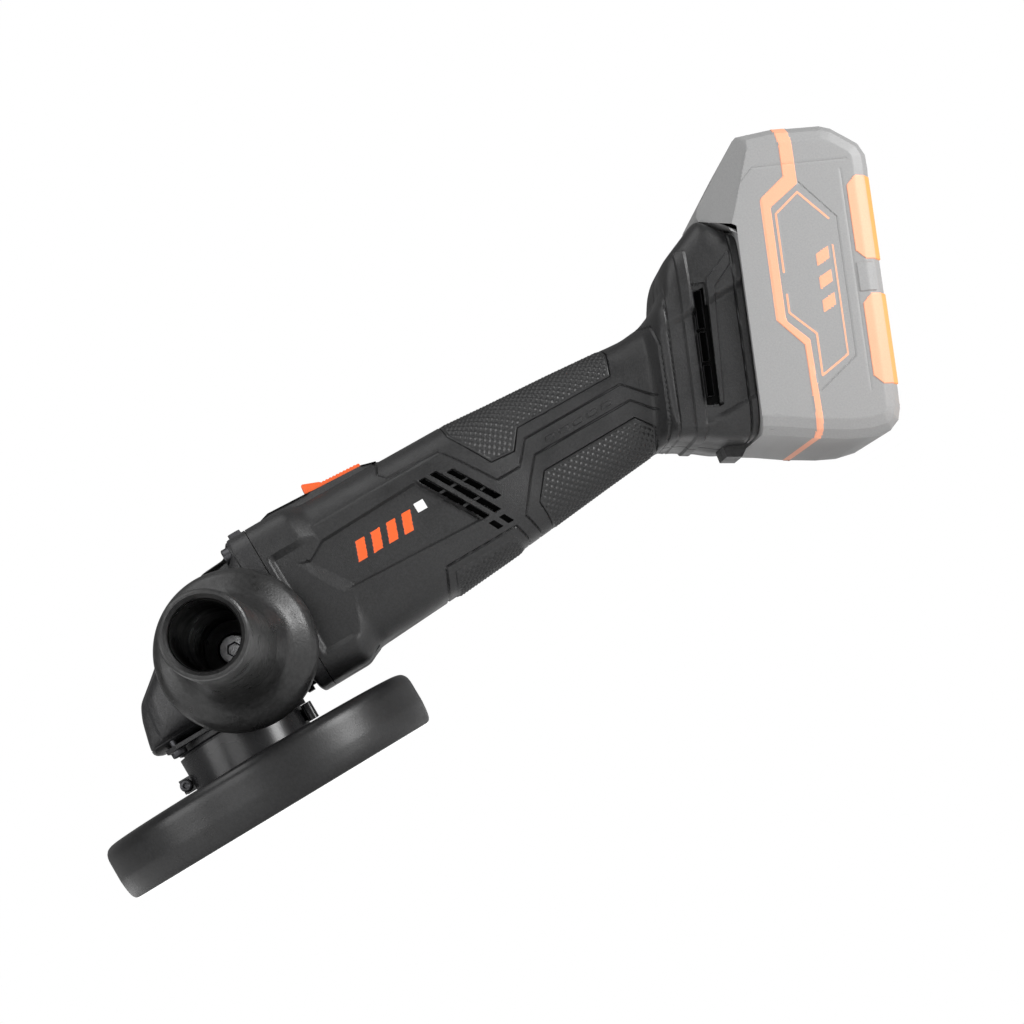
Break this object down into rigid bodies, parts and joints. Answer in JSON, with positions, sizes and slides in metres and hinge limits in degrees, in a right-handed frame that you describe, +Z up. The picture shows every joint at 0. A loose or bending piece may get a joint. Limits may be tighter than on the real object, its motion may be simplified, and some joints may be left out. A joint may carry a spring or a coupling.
{
  "type": "cordless angle grinder",
  "caption": "Battery angle grinder: bevel-geared spindle with disc and turning guard, slide switch, spindle lock, screw-in side handle and a slide-on rear battery.",
  "frame": {"origin": "centre of the spindle's lower end face", "axes": "+X from the spindle along the tool to the battery, +Z up the spindle away from the disc, -Y along the side handle"},
  "size_m": [0.4032, 0.2255, 0.1378],
  "materials": {
    "housing_plastic": "fine satin grain, near black",
    "grip_rubber": "soft overmould with raised dots, near black",
    "gear_case_metal": "satin black coating on cast aluminium",
    "guard_steel": "satin black coating",
    "handle_rubber": "matt black moulding",
    "switch_plastic": "satin orange",
    "battery_plastic": "pale grey",
    "battery_accent": "pale orange",
    "bright_steel": "ground",
    "dark_steel": "blackened",
    "aluminium": "cast",
    "disc_abrasive": "bonded grit",
    "copper": "enamelled wire",
    "board": "circuit board",
    "inner_plastic": "plain",
    "lead_red": "plain",
    "lead_black": "plain",
    "cell_wrap": "shrink wrap"
  },
  "bodies": {
    "tool": {"gear_case": "gear_case_metal", "bearing_cover": "gear_case_metal", "cover_screw_1": "dark_steel", "cover_screw_2": "dark_steel", "cover_screw_3": "dark_steel", "cover_screw_4": "dark_steel", "flange_screw_1": "dark_steel", "flange_screw_2": "dark_steel", "flange_screw_3": "dark_steel", "flange_screw_4": "dark_steel", "spindle_bearing": "bright_steel", "spindle_top_bush": "bright_steel", "motor_front_bearing": "bright_steel", "motor_rear_bearing": "bright_steel", "stator_core": "dark_steel", "front_winding": "copper", "rear_winding": "copper", "motor_bracket": "aluminium", "air_baffle": "inner_plastic", "housing_left": "housing_plastic", "housing_right": "housing_plastic", "housing_screw_1": "dark_steel", "housing_screw_2": "dark_steel", "housing_screw_3": "dark_steel", "housing_screw_4": "dark_steel", "housing_screw_5": "dark_steel", "grip_upper_left": "grip_rubber", "grip_upper_right": "grip_rubber", "grip_lower_left": "grip_rubber", "grip_lower_right": "grip_rubber", "switch_module": "inner_plastic", "control_board": "board", "terminal_block": "inner_plastic", "lead_red": "lead_red", "lead_black": "lead_black", "lock_spring": "bright_steel"},
    "spindle": {"spindle": "bright_steel", "inner_flange": "dark_steel", "cutting_disc": "disc_abrasive", "lock_nut": "dark_steel", "crown_gear": "dark_steel"},
    "rotor": {"rotor_shaft": "bright_steel", "rotor_magnets": "dark_steel", "fan": "inner_plastic", "bevel_pinion": "dark_steel"},
    "lock_button": {"lock_button": "inner_plastic"},
    "switch": {"switch_knob": "switch_plastic", "switch_rod": "inner_plastic"},
    "guard": {"guard_shell": "guard_steel", "guard_band": "guard_steel", "guard_screw": "dark_steel"},
    "guard_lever": {"guard_lever": "guard_steel"},
    "side_handle": {"side_handle": "handle_rubber", "handle_bolt": "bright_steel"},
    "battery": {"battery_case": "battery_plastic", "battery_cover": "battery_plastic", "cell_pack": "cell_wrap", "upper_bumper": "battery_accent", "lower_bumper": "battery_accent"},
    "battery_latch": {"battery_latch": "battery_plastic"}
  },
  "joints": [
    {"name": "spindle_spin", "type": "hinge", "parent": "tool", "child": "spindle", "pos_m": [0, 0, 0], "axis": [0, 0, 1], "continuous": true},
    {"name": "rotor_spin", "type": "hinge", "parent": "tool", "child": "rotor", "pos_m": [0.03, 0, 0.067], "axis": [1, 0, 0], "continuous": true},
    {"name": "lock_button_press", "type": "slide", "parent": "tool", "child": "lock_button", "axis": [0, 0, -1], "range_m": [0, 0.003], "stiffness_N_per_m": 400, "springref_m": -0.003, "deforming": ["lock_spring"]},
    {"name": "switch_slide", "type": "slide", "parent": "tool", "child": "switch", "axis": [-0.9983, 0, 0.0582], "range_m": [0, 0.006]},
    {"name": "guard_turn", "type": "hinge", "parent": "tool", "child": "guard", "pos_m": [0, 0, 0], "axis": [0, 0, 1], "range_deg": [-90, 90]},
    {"name": "guard_lever_open", "type": "hinge", "parent": "guard", "child": "guard_lever", "pos_m": [0.0283, -0.0062, 0.0265], "axis": [0, 0, -1], "range_deg": [0, 70]},
    {"name": "side_handle_out", "type": "slide", "parent": "tool", "child": "side_handle", "axis": [0, -1, 0], "range_m": [0, 0.03]},
    {"name": "battery_slide", "type": "slide", "parent": "tool", "child": "battery", "axis": [0.4099, 0, 0.9121], "range_m": [0, 0.085]},
    {"name": "battery_latch_press", "type": "slide", "parent": "battery", "child": "battery_latch", "axis": [0.5233, 0, -0.8521], "range_m": [0, 0.003], "stiffness_N_per_m": 400, "springref_m": -0.003}
  ],
  "couplings": [
    {"joint": "rotor_spin", "follows": "spindle_spin", "ratio": 3.5}
  ]
}
